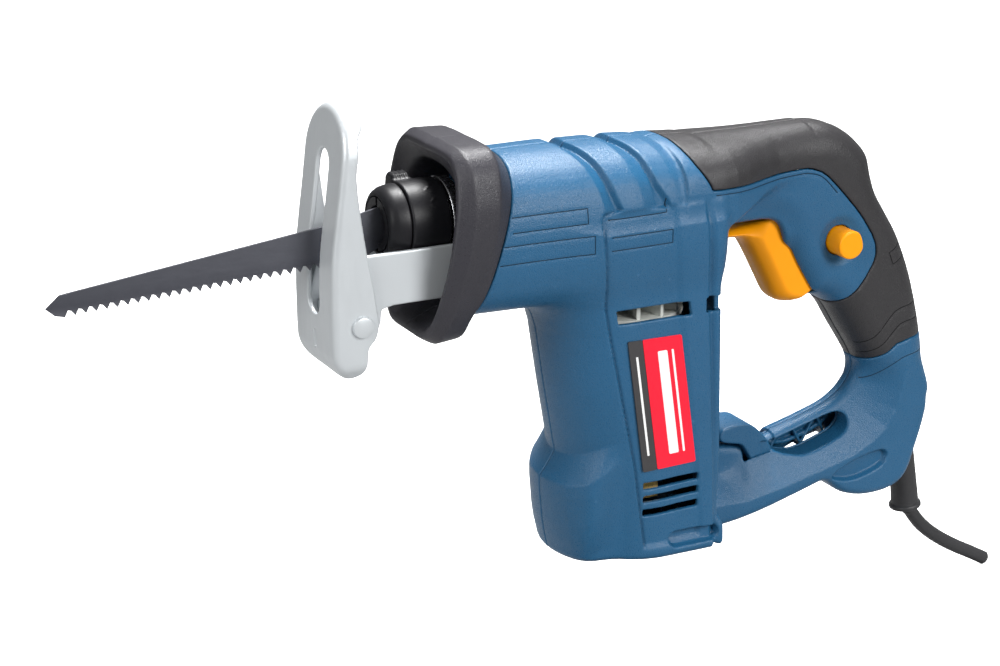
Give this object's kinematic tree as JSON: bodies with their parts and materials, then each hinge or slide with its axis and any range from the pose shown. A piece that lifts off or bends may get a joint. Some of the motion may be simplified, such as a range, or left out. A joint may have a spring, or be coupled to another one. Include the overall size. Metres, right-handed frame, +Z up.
{
  "type": "reciprocating saw",
  "caption": "Compact corded reciprocating saw with an upright motor, a D-handle, a keyless blade clamp and a slotted tilting shoe.",
  "frame": {"origin": "centre of the flat foot of the motor housing, on the motor axis and the parting plane", "axes": "+Z up along the motor axis, -X the way the blade points, +Y to the saw's right side (away from the lock-on button)"},
  "size_m": [0.4687, 0.0764, 0.2728],
  "materials": {
    "blue": "satin moulded plastic, fine texture",
    "dark": "soft-touch overmould",
    "guard": "soft moulded guard",
    "yellow": "satin moulded plastic",
    "silver": "bright plated sheet steel",
    "steel": "machined",
    "blade": "dark coated tool steel",
    "black": "moulded",
    "alu": "die cast",
    "copper": "enamelled copper windings",
    "brass": "plain",
    "carbon": "pressed carbon",
    "red": "printed sheet",
    "grey": "moulded",
    "core": "laminated iron core",
    "rubber": "flexible sleeve"
  },
  "bodies": {
    "base": {"housing_left": "blue", "housing_right": "blue", "grip_left": "dark", "grip_right": "dark", "nose_guard_left": "guard", "nose_guard_right": "guard", "label_plate": "red", "stator": "core", "lower_bearing": "steel", "upper_bearing": "steel", "gear_shaft": "steel", "gear_case": "alu", "front_bush": "brass", "rear_bush": "brass", "brush_holder_left": "brass", "brush_holder_right": "brass", "carbon_brush_left": "carbon", "carbon_brush_right": "carbon", "shoe_bracket": "silver", "shoe_pivot_pin": "silver", "shoe_bolt": "silver", "switch_body": "black", "trigger_spring": "steel", "lock_button_spring": "steel", "hang_hook_pin": "steel", "strain_relief": "rubber", "power_cord": "rubber", "cord_clamp": "black", "housing_screw_1": "steel", "housing_screw_2": "steel", "housing_screw_3": "steel", "housing_screw_4": "steel", "housing_screw_5": "steel", "housing_screw_6": "steel", "shoe_pivot_cap": "silver"},
    "armature": {"armature_shaft": "steel", "armature_core": "copper", "commutator": "brass", "cooling_fan": "grey", "pinion": "steel"},
    "crank": {"crank_gear": "steel", "crank_pin": "steel", "crank_roller": "steel"},
    "plunger": {"plunger": "steel", "plunger_yoke": "steel", "blade_clamp_body": "steel", "clamp_ring": "silver", "clamp_front_cap": "black", "clamp_spring": "steel", "blade": "blade"},
    "collar": {"clamp_collar": "black"},
    "trigger": {"trigger": "yellow"},
    "lock_button": {"lock_button": "yellow"},
    "shoe": {"shoe": "silver"},
    "hang_hook": {"hang_hook": "blue"}
  },
  "joints": [
    {"name": "armature_spin", "type": "hinge", "parent": "base", "child": "armature", "pos_m": [0, 0, 0.06], "axis": [0, 0, 1], "range_deg": [-629, 629]},
    {"name": "crank_turn", "type": "hinge", "parent": "base", "child": "crank", "pos_m": [-0.0288, 0, 0.1336], "axis": [0, 0, 1], "range_deg": [-90, 90]},
    {"name": "plunger_stroke", "type": "slide", "parent": "base", "child": "plunger", "axis": [1, 0, 0], "range_m": [-0.01, 0.01]},
    {"name": "clamp_twist", "type": "hinge", "parent": "plunger", "child": "collar", "pos_m": [-0.098, 0, 0.1608], "axis": [1, 0, 0], "range_deg": [0, 40], "stiffness_Nm_per_rad": 0.15, "springref_deg": -17.19},
    {"name": "trigger_pull", "type": "slide", "parent": "base", "child": "trigger", "axis": [0.8879, 0, 0.46], "range_m": [0, 0.006], "stiffness_N_per_m": 900, "springref_m": -0.004, "deforming": ["trigger_spring"]},
    {"name": "lock_button_push", "type": "slide", "parent": "base", "child": "lock_button", "axis": [0, 1, 0], "range_m": [0, 0.0025], "stiffness_N_per_m": 700, "springref_m": -0.002, "deforming": ["lock_button_spring"]},
    {"name": "shoe_tilt", "type": "hinge", "parent": "base", "child": "shoe", "pos_m": [-0.133, 0, 0.1244], "axis": [0, 1, 0], "range_deg": [-14, 12]},
    {"name": "hang_hook_swing", "type": "hinge", "parent": "base", "child": "hang_hook", "pos_m": [0.0695, 0, 0.0272], "axis": [0, 1, 0], "range_deg": [0, 40]}
  ],
  "couplings": [
    {"joint": "crank_turn", "follows": "armature_spin", "ratio": -0.14286},
    {"joint": "plunger_stroke", "follows": "armature_spin", "m_per_rad": 0.00090946}
  ]
}
